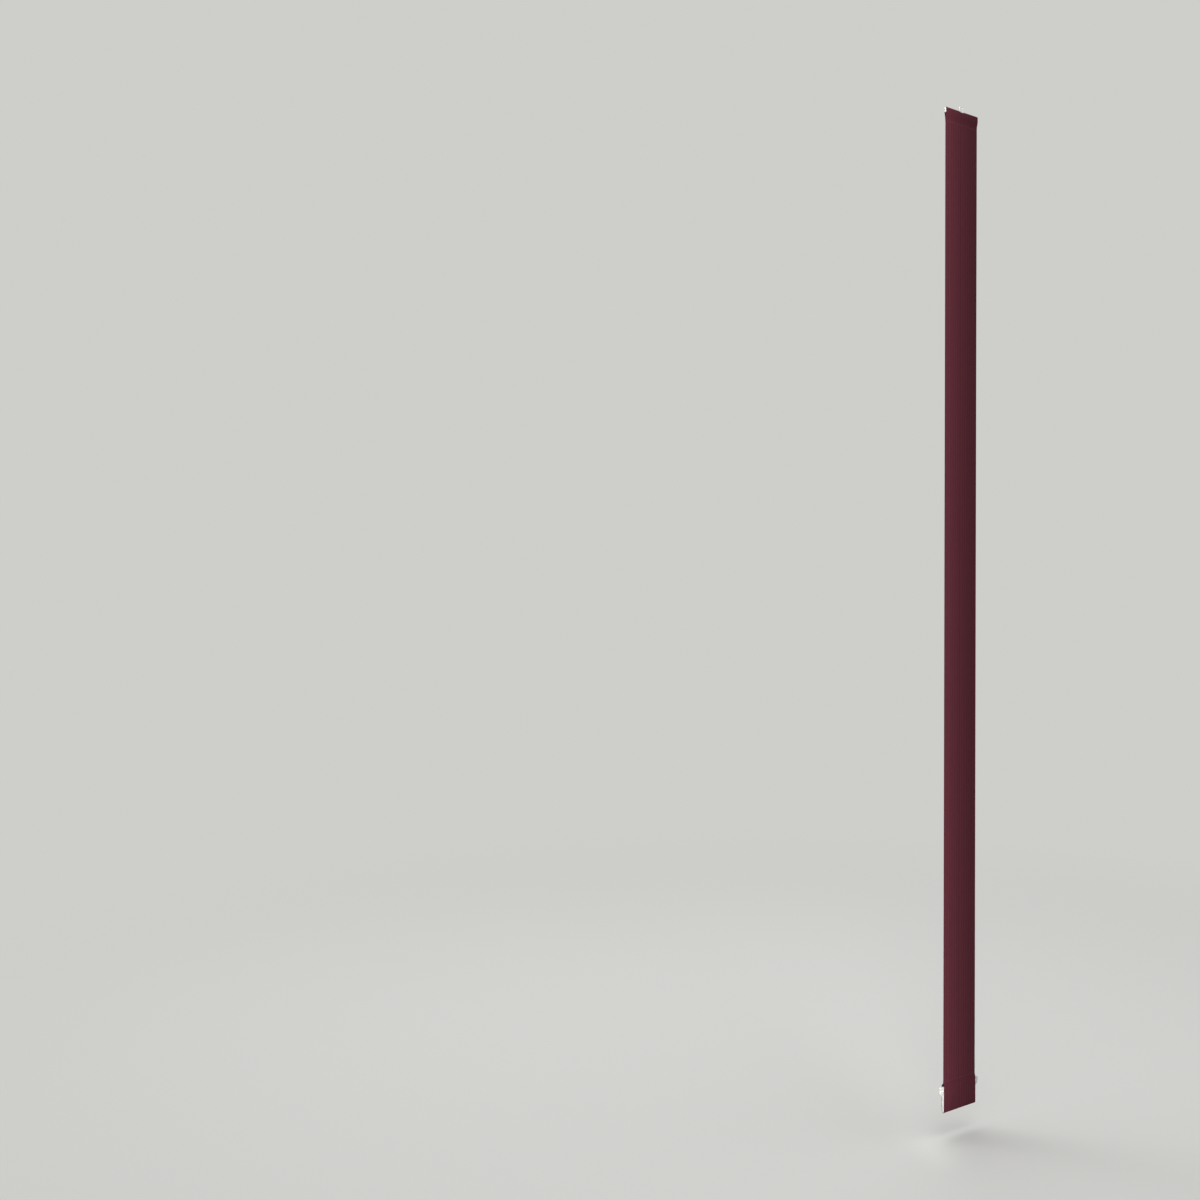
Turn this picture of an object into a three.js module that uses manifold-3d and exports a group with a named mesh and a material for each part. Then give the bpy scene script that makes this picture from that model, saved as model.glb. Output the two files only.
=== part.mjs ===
// Vertical blind vane: a folded fabric strip with a moulded hanger in its top pocket and a
// chain weight in its bottom pocket. Millimetres, +Z up. X runs across the width of the vane,
// and its front face looks towards -Y. The origin is the centre of the eye that it hangs by.
import * as THREE from "three";
import { mergeVertices } from "three/addons/utils/BufferGeometryUtils.js";
import Module from "manifold-3d";

const wasm = await Module();
wasm.setup();

// Clearances
const POCKET_CLEARANCE = 0.3; // between a pocket's wall and what lies in it
const PLATE_CLEARANCE = 0.2; // between the steel plate and its tray
const NOTCH_CLEARANCE = 0.9; // on each side of the eye in the punched notch

// Fabric strip
const VANE_WIDTH = 89;
const VANE_DROP = 1900; // top fold to bottom fold
const FABRIC_THICKNESS = 0.45;
const WELD_WIDTH = 3;
const TOP_TAPER = 13.75; // from the bar down to the top weld
const BOTTOM_TAPER = 7.25; // from the weight up to the bottom weld
const TAPER_FULLNESS = 0.4; // share of a taper that leaves its piece nearly upright
const NOTCH_DEPTH = 2.05; // below the top fold
const NOTCH_CORNER = 0.8;

// Top hanger
const BAR_PROUD = 1; // beyond each edge of the fabric
const BAR_HEIGHT = 9.5;
const BAR_THICKNESS = 3.2;
const BAR_EDGE_ROUND = 0.5;
const BAR_WEB = 1.4;
const BAR_FLANGE = 2.2;
const BAR_RIB = 1.2;
const BAR_END_BLOCK = 4;
const BAR_NECK_BLOCK = 2.5; // solid bar on each side of the neck
const BAYS_PER_SIDE = 4;
const EYE_HOLE_RADIUS = 4.15;
const EYE_BAND = 2.15;
const EYE_THICKNESS = 2.2;
const EYE_EDGE_ROUND = 0.4;
const EYE_DIP = 1.8; // how far the eye reaches down into the notch
const NECK_INSET = 1.8; // the neck is this much narrower than the eye on each side

// Chain weight
const CASE_PROUD = 0.5; // beyond each edge of the fabric
const CASE_HEIGHT = 49;
const CASE_FLOOR = 0.8;
const CASE_SIDE_WALL = 3.8;
const CASE_TOP_WALL = 3;
const CASE_BOTTOM_WALL = 3.6;
const CASE_EDGE_ROUND = 0.5;
const CASE_TOP_ROUND = 0.7;
const WEIGHT_SETBACK = 1; // the weight's middle plane lies this far behind the sheet
const PLATE_THICKNESS = 2.5;
const PLATE_CORNER = 2;
const TAB_LENGTH = 6;
const TAB_THICKNESS = 0.7;
const TAB_GRIP = 1.2; // how far a tab reaches over the plate
const TABS_PER_LONG_SIDE = 2;
const LUG_REACH = 8; // beyond the end of the case
const LUG_THICKNESS = 2.2;
const LUG_EDGE_ROUND = 0.4;
const LUG_ROOT_HEIGHT = 19;
const LUG_OUTER_HEIGHT = 13;
const LUG_CORNER = 2.4;
const LUG_HOLE_WIDTH = 3.4;
const LUG_HOLE_HEIGHT = 5;
const LUG_HOLE_DROP = 6.5; // top of the lug to the middle of its hole

// Worked out from the sizes above
const EYE_RADIUS = EYE_HOLE_RADIUS + EYE_BAND;
const NECK_HALF_WIDTH = EYE_RADIUS - NECK_INSET;
const FOLD_TOP = EYE_DIP - EYE_RADIUS;
const FOLD_BOTTOM = FOLD_TOP - VANE_DROP;
const HALF_FABRIC = FABRIC_THICKNESS / 2;
const BAR_HALF_LENGTH = VANE_WIDTH / 2 + BAR_PROUD;
const BAR_TOP = FOLD_TOP - FABRIC_THICKNESS - POCKET_CLEARANCE;
const BAR_BOTTOM = BAR_TOP - BAR_HEIGHT;
const TOP_WELD = BAR_BOTTOM - TOP_TAPER;
const CASE_HALF_LENGTH = VANE_WIDTH / 2 + CASE_PROUD;
const CASE_THICKNESS = CASE_FLOOR + PLATE_THICKNESS + 2 * PLATE_CLEARANCE + TAB_THICKNESS;
const CASE_FRONT = WEIGHT_SETBACK - CASE_THICKNESS / 2;
const CASE_BACK = WEIGHT_SETBACK + CASE_THICKNESS / 2;
const CASE_BOTTOM = FOLD_BOTTOM + FABRIC_THICKNESS + POCKET_CLEARANCE;
const CASE_TOP = CASE_BOTTOM + CASE_HEIGHT;
const BOTTOM_WELD = CASE_TOP + BOTTOM_TAPER;
const TRAY_HALF_LENGTH = CASE_HALF_LENGTH - CASE_SIDE_WALL;
const TRAY_BOTTOM = CASE_BOTTOM + CASE_BOTTOM_WALL;
const TRAY_TOP = CASE_TOP - CASE_TOP_WALL;
const TRAY_FLOOR = CASE_FRONT + CASE_FLOOR;

const ARC_STEPS = 10; // straight steps in each arc or curve of an outline
const EDGE_STEPS = 2; // steps in a rounded edge
const OVERCUT = 1; // how far a cutting shape runs past the face that it cuts
const MERGE_DISTANCE = 1e-3;

const fabric = new THREE.MeshStandardMaterial({ color: 0x6a3940, roughness: 0.9, metalness: 0 });
const plastic = new THREE.MeshStandardMaterial({ color: 0xeeedea, roughness: 0.4, metalness: 0 });
const steel = new THREE.MeshStandardMaterial({ color: 0xa9adb0, roughness: 0.35, metalness: 1 });

// Turns a closed geometry into a solid that can be joined and cut.
function solid(geometry) {
  const bare = new THREE.BufferGeometry();
  bare.setAttribute("position", geometry.getAttribute("position"));
  if (geometry.index) bare.setIndex(geometry.index);
  const merged = mergeVertices(bare, MERGE_DISTANCE);
  return new wasm.Manifold(new wasm.Mesh({
    numProp: 3,
    vertProperties: new Float32Array(merged.getAttribute("position").array),
    triVerts: new Uint32Array(merged.index.array),
  }));
}

// Turns a solid back into a geometry.
function geometryOf(body) {
  const mesh = body.getMesh();
  const geometry = new THREE.BufferGeometry();
  geometry.setAttribute("position", new THREE.BufferAttribute(mesh.vertProperties, 3));
  geometry.setIndex(new THREE.BufferAttribute(mesh.triVerts, 1));
  geometry.computeVertexNormals();
  return geometry;
}

// A box between two values on each axis, given in either order.
function block(xs, ys, zs) {
  const spans = [xs, ys, zs];
  const size = spans.map(([from, to]) => Math.abs(to - from));
  const middle = spans.map(([from, to]) => (from + to) / 2);
  return solid(new THREE.BoxGeometry(...size).translate(...middle));
}

// An outline given a depth, with rounded edges where asked.
function extrude(outline, depth, edge) {
  const geometry = new THREE.ExtrudeGeometry(outline, {
    depth: depth - 2 * edge,
    bevelEnabled: edge > 0,
    bevelThickness: edge,
    bevelSize: edge,
    bevelOffset: -edge,
    bevelSegments: EDGE_STEPS,
    curveSegments: ARC_STEPS,
  });
  return geometry.translate(0, 0, edge);
}

// A section drawn in Y and Z and run along X, to the same distance on both sides of X = 0.
function runAcross(section, halfLength, edge = 0) {
  const geometry = extrude(section, 2 * halfLength, edge).translate(0, 0, -halfLength);
  geometry.applyMatrix4(new THREE.Matrix4().makeBasis(
    new THREE.Vector3(0, 1, 0), new THREE.Vector3(0, 0, 1), new THREE.Vector3(1, 0, 0),
  ));
  return solid(geometry);
}

// An outline drawn in X and Z with a front and a back in Y.
function slab(outline, front, back, edge = 0) {
  const geometry = extrude(outline, back - front, edge);
  geometry.applyMatrix4(new THREE.Matrix4().makeBasis(
    new THREE.Vector3(1, 0, 0), new THREE.Vector3(0, 0, 1), new THREE.Vector3(0, -1, 0),
  ));
  return solid(geometry.translate(0, back, 0));
}

// A rectangle centred on the upright axis, with all of its corners rounded alike.
function roundedRectangle(half, low, high, radius) {
  const shape = new THREE.Shape();
  shape.absarc(half - radius, low + radius, radius, -Math.PI / 2, 0);
  shape.absarc(half - radius, high - radius, radius, 0, Math.PI / 2);
  shape.absarc(radius - half, high - radius, radius, Math.PI / 2, Math.PI);
  shape.absarc(radius - half, low + radius, radius, Math.PI, 1.5 * Math.PI);
  return shape;
}

// An upright slot with full round ends.
function uprightSlot(middle, low, high, width) {
  const radius = width / 2;
  const shape = new THREE.Shape();
  shape.absarc(middle, low + radius, radius, Math.PI, 2 * Math.PI);
  shape.absarc(middle, high - radius, radius, 0, Math.PI);
  return shape;
}

// Runs a path on from beside a pocket's piece to the weld, or back from the weld.
function taper(path, besideY, besideZ, weldY, weldZ, towardsWeld) {
  const bendZ = besideZ + TAPER_FULLNESS * (weldZ - besideZ);
  if (towardsWeld) {
    path.lineTo(besideY, besideZ);
    path.quadraticCurveTo(besideY, bendZ, weldY, weldZ);
  } else {
    path.lineTo(weldY, weldZ);
    path.quadraticCurveTo(besideY, bendZ, besideY, besideZ);
  }
}

// The folded strip in section: the main sheet, the two folds and the two hems on its back.
function stripSection() {
  const topHalf = BAR_THICKNESS / 2 + POCKET_CLEARANCE;
  const topOuter = topHalf + FABRIC_THICKNESS;
  const topCentre = FOLD_TOP - topOuter;
  const bottomHalf = CASE_THICKNESS / 2 + POCKET_CLEARANCE;
  const bottomOuter = bottomHalf + FABRIC_THICKNESS;
  const bottomCentre = FOLD_BOTTOM + bottomOuter;
  const front = WEIGHT_SETBACK - bottomOuter;
  const back = WEIGHT_SETBACK + bottomOuter;
  const hemBack = HALF_FABRIC + FABRIC_THICKNESS;

  const shape = new THREE.Shape();
  shape.absarc(0, topCentre, topOuter, 0, Math.PI);
  taper(shape, -topOuter, BAR_BOTTOM, -HALF_FABRIC, TOP_WELD, true);
  taper(shape, front, CASE_TOP, -HALF_FABRIC, BOTTOM_WELD, false);
  shape.absarc(WEIGHT_SETBACK, bottomCentre, bottomOuter, Math.PI, 2 * Math.PI);
  taper(shape, back, CASE_TOP, hemBack, BOTTOM_WELD, true);
  shape.lineTo(hemBack, BOTTOM_WELD + WELD_WIDTH);
  shape.lineTo(HALF_FABRIC, BOTTOM_WELD + WELD_WIDTH);
  shape.lineTo(HALF_FABRIC, TOP_WELD - WELD_WIDTH);
  shape.lineTo(hemBack, TOP_WELD - WELD_WIDTH);
  taper(shape, topOuter, BAR_BOTTOM, hemBack, TOP_WELD, false);

  const topPocket = new THREE.Path();
  topPocket.absarc(0, topCentre, topHalf, 0, Math.PI);
  taper(topPocket, -topHalf, BAR_BOTTOM, HALF_FABRIC, TOP_WELD, true);
  taper(topPocket, topHalf, BAR_BOTTOM, HALF_FABRIC, TOP_WELD, false);

  const bottomPocket = new THREE.Path();
  bottomPocket.absarc(WEIGHT_SETBACK, bottomCentre, bottomHalf, Math.PI, 2 * Math.PI);
  taper(bottomPocket, WEIGHT_SETBACK + bottomHalf, CASE_TOP, HALF_FABRIC, BOTTOM_WELD, true);
  taper(bottomPocket, WEIGHT_SETBACK - bottomHalf, CASE_TOP, HALF_FABRIC, BOTTOM_WELD, false);

  shape.holes.push(topPocket, bottomPocket);
  return shape;
}

function vaneFabric() {
  const notch = roundedRectangle(
    EYE_RADIUS + NOTCH_CLEARANCE, FOLD_TOP - NOTCH_DEPTH, FOLD_TOP + NOTCH_DEPTH, NOTCH_CORNER,
  );
  const reach = BAR_THICKNESS + FABRIC_THICKNESS + OVERCUT;
  return runAcross(stripSection(), VANE_WIDTH / 2).subtract(slab(notch, -reach, reach));
}

// The shallow bays that leave the bar a web between two flanges, on both of its faces.
function barBays() {
  const bays = [];
  const start = NECK_HALF_WIDTH + BAR_NECK_BLOCK;
  const pitch = (BAR_HALF_LENGTH - BAR_END_BLOCK - start + BAR_RIB) / BAYS_PER_SIDE;
  for (const side of [-1, 1]) {
    for (const face of [-1, 1]) {
      for (let bay = 0; bay < BAYS_PER_SIDE; bay += 1) {
        const near = start + bay * pitch;
        bays.push(block(
          [side * near, side * (near + pitch - BAR_RIB)],
          [face * BAR_WEB / 2, face * (BAR_THICKNESS / 2 + OVERCUT)],
          [BAR_BOTTOM + BAR_FLANGE, BAR_TOP - BAR_FLANGE],
        ));
      }
    }
  }
  return bays;
}

// The eye's ring and the neck that carries it, in X and Z.
function eyeOutline() {
  const neckAngle = Math.asin(NECK_HALF_WIDTH / EYE_RADIUS);
  const neckFoot = BAR_TOP - BAR_THICKNESS / 2;
  const shape = new THREE.Shape();
  shape.moveTo(-NECK_HALF_WIDTH, neckFoot);
  shape.lineTo(NECK_HALF_WIDTH, neckFoot);
  shape.absarc(0, 0, EYE_RADIUS, neckAngle - Math.PI / 2, 0.5 * Math.PI);
  shape.absarc(0, 0, EYE_RADIUS, 0.5 * Math.PI, 1.5 * Math.PI - neckAngle);
  const hole = new THREE.Path();
  hole.absarc(0, 0, EYE_HOLE_RADIUS, 0, Math.PI);
  hole.absarc(0, 0, EYE_HOLE_RADIUS, Math.PI, 2 * Math.PI);
  shape.holes.push(hole);
  return shape;
}

function topHanger() {
  const section = uprightSlot(0, BAR_BOTTOM, BAR_TOP, BAR_THICKNESS);
  let bar = runAcross(section, BAR_HALF_LENGTH, BAR_EDGE_ROUND);
  for (const bay of barBays()) bar = bar.subtract(bay);
  return bar.add(slab(eyeOutline(), -EYE_THICKNESS / 2, EYE_THICKNESS / 2, EYE_EDGE_ROUND));
}

// The places of the tabs that hold the plate: a point on the tray's wall, and the way it points.
function tabPlaces() {
  const places = [];
  for (let tab = 0; tab < TABS_PER_LONG_SIDE; tab += 1) {
    const x = 2 * TRAY_HALF_LENGTH * ((tab + 0.5) / TABS_PER_LONG_SIDE - 0.5);
    places.push({ x, z: TRAY_TOP, toX: 0, toZ: -1 }, { x, z: TRAY_BOTTOM, toX: 0, toZ: 1 });
  }
  const z = (TRAY_TOP + TRAY_BOTTOM) / 2;
  places.push({ x: TRAY_HALF_LENGTH, z, toX: -1, toZ: 0 }, { x: -TRAY_HALF_LENGTH, z, toX: 1, toZ: 0 });
  return places;
}

// A block at one tab place, from a depth in the tray's wall to the tab's tip over the plate.
function tabBlock({ x, z, toX, toZ }, root, front, back) {
  const reach = PLATE_CLEARANCE + TAB_GRIP;
  const halfX = toX ? 0 : TAB_LENGTH / 2;
  const halfZ = toZ ? 0 : TAB_LENGTH / 2;
  return block(
    [x - toX * root - halfX, x + toX * reach + halfX],
    [front, back],
    [z - toZ * root - halfZ, z + toZ * reach + halfZ],
  );
}

// The lug at the near edge, in X and Z, with its hole for the chain's clip.
function lugOutline() {
  const root = CASE_HALF_LENGTH - CASE_EDGE_ROUND - LUG_EDGE_ROUND;
  const outer = CASE_HALF_LENGTH + LUG_REACH;
  const outerFoot = CASE_TOP - LUG_OUTER_HEIGHT;
  const rootFoot = CASE_TOP - LUG_ROOT_HEIGHT;
  const slope = (LUG_ROOT_HEIGHT - LUG_OUTER_HEIGHT) / LUG_REACH;
  const shape = new THREE.Shape();
  shape.moveTo(root, rootFoot);
  shape.lineTo(CASE_HALF_LENGTH, rootFoot);
  shape.lineTo(outer - LUG_CORNER, outerFoot - slope * LUG_CORNER);
  shape.quadraticCurveTo(outer, outerFoot, outer, outerFoot + LUG_CORNER);
  shape.lineTo(outer, CASE_TOP - LUG_CORNER);
  shape.quadraticCurveTo(outer, CASE_TOP, outer - LUG_CORNER, CASE_TOP);
  shape.lineTo(root, CASE_TOP);
  const holeZ = CASE_TOP - LUG_HOLE_DROP;
  shape.holes.push(uprightSlot(
    CASE_HALF_LENGTH + LUG_REACH / 2,
    holeZ - LUG_HOLE_HEIGHT / 2, holeZ + LUG_HOLE_HEIGHT / 2, LUG_HOLE_WIDTH,
  ));
  return shape;
}

// The case in section: a full round nose below and small rounds at its top edges.
function caseSection() {
  const nose = CASE_THICKNESS / 2;
  const shape = new THREE.Shape();
  shape.absarc(WEIGHT_SETBACK, CASE_BOTTOM + nose, nose, Math.PI, 2 * Math.PI);
  shape.lineTo(CASE_BACK, CASE_TOP - CASE_TOP_ROUND);
  shape.quadraticCurveTo(CASE_BACK, CASE_TOP, CASE_BACK - CASE_TOP_ROUND, CASE_TOP);
  shape.lineTo(CASE_FRONT + CASE_TOP_ROUND, CASE_TOP);
  shape.quadraticCurveTo(CASE_FRONT, CASE_TOP, CASE_FRONT, CASE_TOP - CASE_TOP_ROUND);
  return shape;
}

// The tray's outline, or the plate's when it is shrunk by the clearance between them.
function trayOutline(shrink) {
  return roundedRectangle(
    TRAY_HALF_LENGTH - shrink, TRAY_BOTTOM + shrink, TRAY_TOP - shrink, PLATE_CORNER,
  );
}

function weightCase() {
  let body = runAcross(caseSection(), CASE_HALF_LENGTH, CASE_EDGE_ROUND);
  const lug = slab(
    lugOutline(),
    WEIGHT_SETBACK - LUG_THICKNESS / 2, WEIGHT_SETBACK + LUG_THICKNESS / 2, LUG_EDGE_ROUND,
  );
  body = body.add(lug).add(lug.mirror([1, 0, 0]));
  body = body.subtract(slab(trayOutline(0), TRAY_FLOOR, CASE_BACK + OVERCUT));
  for (const place of tabPlaces()) {
    body = body.subtract(tabBlock(place, 0, CASE_FRONT - OVERCUT, TRAY_FLOOR + OVERCUT));
    body = body.add(tabBlock(place, OVERCUT, CASE_BACK - TAB_THICKNESS, CASE_BACK));
  }
  return body;
}

function weightPlate() {
  const front = TRAY_FLOOR + PLATE_CLEARANCE;
  return slab(trayOutline(PLATE_CLEARANCE), front, front + PLATE_THICKNESS);
}

const vane = new THREE.Group();

function addPiece(name, body, material) {
  const mesh = new THREE.Mesh(geometryOf(body), material);
  mesh.name = name;
  vane.add(mesh);
}

addPiece("vane_fabric", vaneFabric(), fabric);
addPiece("top_hanger", topHanger(), plastic);
addPiece("weight_case", weightCase(), plastic);
addPiece("weight_plate", weightPlate(), steel);

export default vane;
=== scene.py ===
"""A vertical blind vane: a folded strip of stiffened cloth with its top hanger and chain weight.

Metres, +Z up. X runs across the width of the vane and its front face looks towards -Y. The
origin is the centre of the eye that the vane hangs by.
"""
import logging
import math
from dataclasses import dataclass
from enum import Enum
from typing import Sequence

import bpy
import numpy as np
from mathutils import Matrix, Vector


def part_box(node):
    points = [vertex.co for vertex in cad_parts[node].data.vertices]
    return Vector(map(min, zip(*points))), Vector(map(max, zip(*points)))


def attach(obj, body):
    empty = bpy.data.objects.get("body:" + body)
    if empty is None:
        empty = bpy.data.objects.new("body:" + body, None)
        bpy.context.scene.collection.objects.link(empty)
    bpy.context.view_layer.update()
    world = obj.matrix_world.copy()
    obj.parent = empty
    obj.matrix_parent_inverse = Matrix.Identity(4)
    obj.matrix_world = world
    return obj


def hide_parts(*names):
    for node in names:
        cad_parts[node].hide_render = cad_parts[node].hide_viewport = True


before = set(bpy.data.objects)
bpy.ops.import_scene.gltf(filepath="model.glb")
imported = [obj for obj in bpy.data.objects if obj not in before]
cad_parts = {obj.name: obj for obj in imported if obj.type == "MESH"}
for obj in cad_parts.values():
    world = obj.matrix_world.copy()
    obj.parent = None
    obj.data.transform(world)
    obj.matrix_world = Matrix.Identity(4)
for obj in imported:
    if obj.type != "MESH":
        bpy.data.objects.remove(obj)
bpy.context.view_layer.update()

MM = 0.001
TURN = 2 * math.pi
BODY = "root"
SMOOTH_ANGLE = math.radians(38)
EDGE_STEPS = 3  # steps in a rounded edge
HAIR = 0.01 * MM  # keeps two faces from lying in one plane
SOFT_STEP = (0.0, 1 / 3, 2 / 3, 1.0)  # shares of the way through a softened step

Point = tuple[float, float]
Point3 = tuple[float, float, float]
Outline = list[Point]
Loop = list[Vector]
Socket = bpy.types.NodeSocket
log = logging.getLogger("vane")


class Cut(Enum):
    """What a second solid does to the first one."""

    JOIN = "UNION"
    REMOVE = "DIFFERENCE"


class Drawn(Enum):
    """The plane of a flat outline: the axes of its two numbers, then the axis of its depth."""

    FRONT = (0, 2, 1)
    SECTION = (1, 2, 0)
    LEVEL = (0, 1, 2)


def linear(hex_colour: str) -> tuple[float, float, float, float]:
    """Turns an sRGB colour into the linear one that a shader takes.

    Args:
        hex_colour: six hex digits after a hash.

    Returns:
        Red, green, blue and an alpha of 1.
    """
    shares = [int(hex_colour[at:at + 2], 16) / 255 for at in (1, 3, 5)]
    red, green, blue = (
        share / 12.92 if share <= 0.04045 else ((share + 0.055) / 1.055) ** 2.4 for share in shares
    )
    return red, green, blue, 1.0


def eased(share: float) -> float:
    """Returns 0 to 1 as share goes from 0 to 1, level at both ends."""
    held = min(max(share, 0.0), 1.0)
    return held * held * (3 - 2 * held)


# Materials


def add_node(
    tree: bpy.types.NodeTree,
    kind: str,
    settings: dict[str | int, object] | None = None,
    links: dict[str | int, Socket] | None = None,
) -> bpy.types.Node:
    """Adds one node to a tree.

    Args:
        tree: the material's or the world's tree.
        kind: the node's type.
        settings: values, by the node's own property or by the name or number of an input.
        links: the output that feeds each named or numbered input.

    Returns:
        The new node.
    """
    node = tree.nodes.new(kind)
    for key, value in (settings or {}).items():
        if isinstance(key, str) and hasattr(node, key):
            setattr(node, key, value)
        else:
            node.inputs[key].default_value = value
    for key, source in (links or {}).items():
        tree.links.new(source, node.inputs[key])
    return node


def new_material(name: str) -> tuple[bpy.types.Material, bpy.types.NodeTree]:
    """Makes a material with an empty tree.

    Args:
        name: the material's name.

    Returns:
        The material and its tree.
    """
    material = bpy.data.materials.new(name)
    material.use_nodes = True
    material.node_tree.nodes.clear()
    return material, material.node_tree


def finish_with(tree: bpy.types.NodeTree, shader: bpy.types.Node) -> None:
    """Leads a shader to a new output.

    Args:
        tree: the material's tree.
        shader: the node whose first output is the finished shader.
    """
    add_node(tree, "ShaderNodeOutputMaterial", links={"Surface": shader.outputs[0]})


def calculate(
    tree: bpy.types.NodeTree, operation: str, *terms: Socket | float, clamp: bool = False,
) -> Socket:
    """Returns the result of a sum in the shader.

    Args:
        tree: the tree.
        operation: what is done with the terms.
        terms: outputs or numbers, in order.
        clamp: whether the result is held between 0 and 1.

    Returns:
        The result's output.
    """
    numbers = {at: term for at, term in enumerate(terms) if not isinstance(term, Socket)}
    links = {at: term for at, term in enumerate(terms) if isinstance(term, Socket)}
    settings = {"operation": operation, "use_clamp": clamp, **numbers}
    return add_node(tree, "ShaderNodeMath", settings, links).outputs[0]


def wave(tree: bpy.types.NodeTree, along: Socket, length: float) -> Socket:
    """Returns a sine wave of the given length along an axis, from -1 to 1."""
    return calculate(tree, "SINE", calculate(tree, "MULTIPLY", along, TURN / length))


def noise(tree: bpy.types.NodeTree, place: Socket, **settings: float) -> Socket:
    """Returns a noise pattern at a place, from 0 to 1."""
    return add_node(tree, "ShaderNodeTexNoise", settings, {"Vector": place}).outputs[0]


def ranged(tree: bpy.types.NodeTree, share: Socket, low: float, high: float) -> Socket:
    """Returns low to high as share goes from 0 to 1."""
    return add_node(
        tree, "ShaderNodeMapRange", {"To Min": low, "To Max": high}, {"Value": share},
    ).outputs[0]


def mix(tree: bpy.types.NodeTree, share: Socket, first: Socket | str, second: str) -> Socket:
    """Returns a colour between two.

    Args:
        tree: the material's tree.
        share: how much of the second one it has.
        first: the first colour, as an output or as hex.
        second: the second colour, as hex.

    Returns:
        The colour's output.
    """
    settings = {"data_type": "RGBA", 7: linear(second)}
    links = {0: share}
    if isinstance(first, str):
        settings[6] = linear(first)
    else:
        links[6] = first
    return add_node(tree, "ShaderNodeMix", settings, links).outputs[2]


@dataclass(frozen=True)
class StiffenedPolyesterWeave:
    """Burgundy polyester, woven with upright ribs and stiffened with resin.

    The matt yarn soaks up light, and its uneven dye shows as faint upright stripes and flecks.
    The welds have melted it smooth and a little paler, and the hot-cut edges are darker.
    """

    deep: str = "#471E27"
    pale: str = "#672F3A"
    welded: str = "#602F39"
    sealed: str = "#391A21"
    bloom: str = "#A0646C"
    stripe: float = 6.7 * MM  # every fourth rib or so, drawn this wide because one is too fine
    dye: float = 9.0 * MM
    fleck: float = 3.5 * MM  # a slub in the yarn, drawn several times its width to show
    fleck_length: float = 14.0 * MM
    ground: float = 0.05  # of the pale dye everywhere
    stripe_weight: float = 0.15
    dye_weight: float = 0.55
    fleck_weight: float = 0.35
    yarn: float = 0.75 * MM  # two yarns to a rib
    relief: float = 0.04 * MM
    ior: float = 1.54
    roughness: float = 0.88
    welded_roughness: float = 0.66

    def build(self) -> bpy.types.Material:
        """Returns the cloth's material."""
        material, tree = new_material("stiffened_polyester_weave")
        place = add_node(tree, "ShaderNodeTexCoord").outputs["Object"]
        axes = add_node(tree, "ShaderNodeSeparateXYZ", links={0: place}).outputs
        weld, cut = (
            add_node(tree, "ShaderNodeAttribute", {"attribute_name": name}).outputs["Fac"]
            for name in ("welded", "cut")
        )
        colour = mix(tree, self._dye(tree, place, axes[0]), self.deep, self.pale)
        colour = mix(tree, weld, colour, self.welded)
        colour = mix(tree, cut, colour, self.sealed)
        rough = ranged(tree, weld, self.roughness, self.welded_roughness)
        finish_with(tree, add_node(
            tree, "ShaderNodeBsdfPrincipled",
            {"IOR": self.ior, "Specular IOR Level": 0.1, "Sheen Weight": 0.02,
             "Sheen Roughness": 0.5, "Sheen Tint": linear(self.bloom)},
            {"Base Color": colour, "Roughness": rough, "Normal": self._yarns(tree, axes)},
        ))
        return material

    def _dye(self, tree: bpy.types.NodeTree, place: Socket, across: Socket) -> Socket:
        """Returns how far the dye has taken: upright stripes, single yarns and flecks.

        Args:
            tree: the material's tree.
            place: the object's own coordinates.
            across: the place across the width.

        Returns:
            A share from 0, deep, to 1, pale.
        """
        yarns = add_node(
            tree, "ShaderNodeTexNoise",
            {"noise_dimensions": "1D", "Scale": 1 / self.dye, "Detail": 3.0, "Roughness": 0.6},
            {"W": across},
        ).outputs[0]
        stretched = add_node(
            tree, "ShaderNodeMapping",
            {"Scale": (1 / self.fleck, 0.0, 1 / self.fleck_length)}, {"Vector": place},
        ).outputs[0]
        flecks = noise(tree, stretched, Scale=1.0, Detail=2.0)
        stripes = wave(tree, across, self.stripe)
        total = calculate(tree, "MULTIPLY_ADD", stripes, self.stripe_weight, self.ground)
        for pattern, weight in ((yarns, self.dye_weight), (flecks, self.fleck_weight)):
            total = calculate(tree, "MULTIPLY_ADD", pattern, weight, total, clamp=True)
        return total

    def _yarns(self, tree: bpy.types.NodeTree, axes: Sequence[Socket]) -> Socket:
        """Returns the normal of a plain weave, where warp and weft rise in turn.

        Args:
            tree: the material's tree.
            axes: the coordinates across, through and along the strip.

        Returns:
            The normal for the shader.
        """
        warp, weft = (wave(tree, axis, self.yarn) for axis in (axes[0], axes[2]))
        height = calculate(tree, "MULTIPLY", warp, weft)
        return add_node(
            tree, "ShaderNodeBump", {"Strength": 0.5, "Distance": self.relief}, {"Height": height},
        ).outputs[0]


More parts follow.
